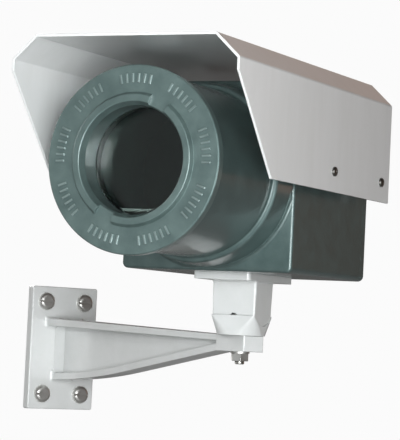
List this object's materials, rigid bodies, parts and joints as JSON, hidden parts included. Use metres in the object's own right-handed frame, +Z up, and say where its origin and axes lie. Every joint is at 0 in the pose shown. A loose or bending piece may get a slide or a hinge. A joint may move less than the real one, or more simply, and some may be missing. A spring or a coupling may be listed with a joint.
{
  "type": "security camera housing",
  "caption": "Cast outdoor camera housing with a round screw-on window cover and folded sunshield, on a pan and tilt head at the end of a cast wall arm.",
  "frame": {"origin": "centre of the wall plate's back face, on the wall", "axes": "+Z up, +Y into the wall, the arm stands out along -Y; at rest the housing is turned 60 degrees towards -X about the upright pan axis at y = -366 mm"},
  "size_m": [0.4629, 0.6318, 0.3721],
  "materials": {
    "bracket_paint": "satin off-white powder coat",
    "housing_paint": "satin grey-green paint",
    "shield_paint": "satin light grey powder coat",
    "safety_glass": "clear polished safety glass",
    "black_rubber": "matt black",
    "stainless": "plain stainless steel",
    "nickel_brass": "nickel plated",
    "bare_aluminium": "plain mill finish",
    "board_laminate": "green laminate",
    "terminal_plastic": "grey moulding"
  },
  "bodies": {
    "bracket": {"wall_bracket": "bracket_paint", "wall_screws": "stainless"},
    "swivel": {"swivel_base": "bracket_paint", "clamp_bolt": "stainless", "clamp_nut": "stainless", "clamp_washer": "stainless", "cradle_washer": "stainless"},
    "seal": {"cover_seal": "black_rubber"},
    "cover": {"front_cover": "housing_paint", "window_glass": "safety_glass", "window_gasket": "black_rubber", "window_ring": "bare_aluminium"},
    "housing": {"board_posts": "stainless", "board_screws": "stainless", "camera_screw": "stainless", "camera_sled": "bare_aluminium", "circuit_board": "board_laminate", "earth_screw": "stainless", "gland_body": "nickel_brass", "gland_nut": "nickel_brass", "gland_seal": "black_rubber", "heater": "bare_aluminium", "housing_body": "housing_paint", "rear_cover": "housing_paint", "rear_cover_screws": "stainless", "rear_seal": "black_rubber", "saddle_screws": "stainless", "shield_screws": "stainless", "shield_spacers": "stainless", "sled_posts": "stainless", "sled_screws": "stainless", "sled_strips": "black_rubber", "stopping_plug": "nickel_brass", "sun_shield": "shield_paint", "terminal_block": "terminal_plastic", "tilt_saddle": "bracket_paint"}
  },
  "joints": [
    {"name": "pan", "type": "hinge", "parent": "bracket", "child": "swivel", "pos_m": [0, -0.366, 0.0252], "axis": [0, 0, 1], "range_deg": [-30, 150]},
    {"name": "tilt", "type": "hinge", "parent": "swivel", "child": "housing", "pos_m": [0, -0.366, 0.0658], "axis": [0.5, -0.866, 0], "range_deg": [-20, 25]},
    {"name": "cover_travel", "type": "slide", "parent": "housing", "child": "seal", "axis": [-0.866, -0.5, 0], "range_m": [0, 0.0241]},
    {"name": "cover_turn", "type": "hinge", "parent": "seal", "child": "cover", "pos_m": [-0.23209, -0.5, 0.1847], "axis": [-0.866, -0.5, 0], "range_deg": [0, 2880]}
  ],
  "couplings": [
    {"joint": "cover_travel", "follows": "cover_turn", "m_per_rad": 0.00047746}
  ]
}
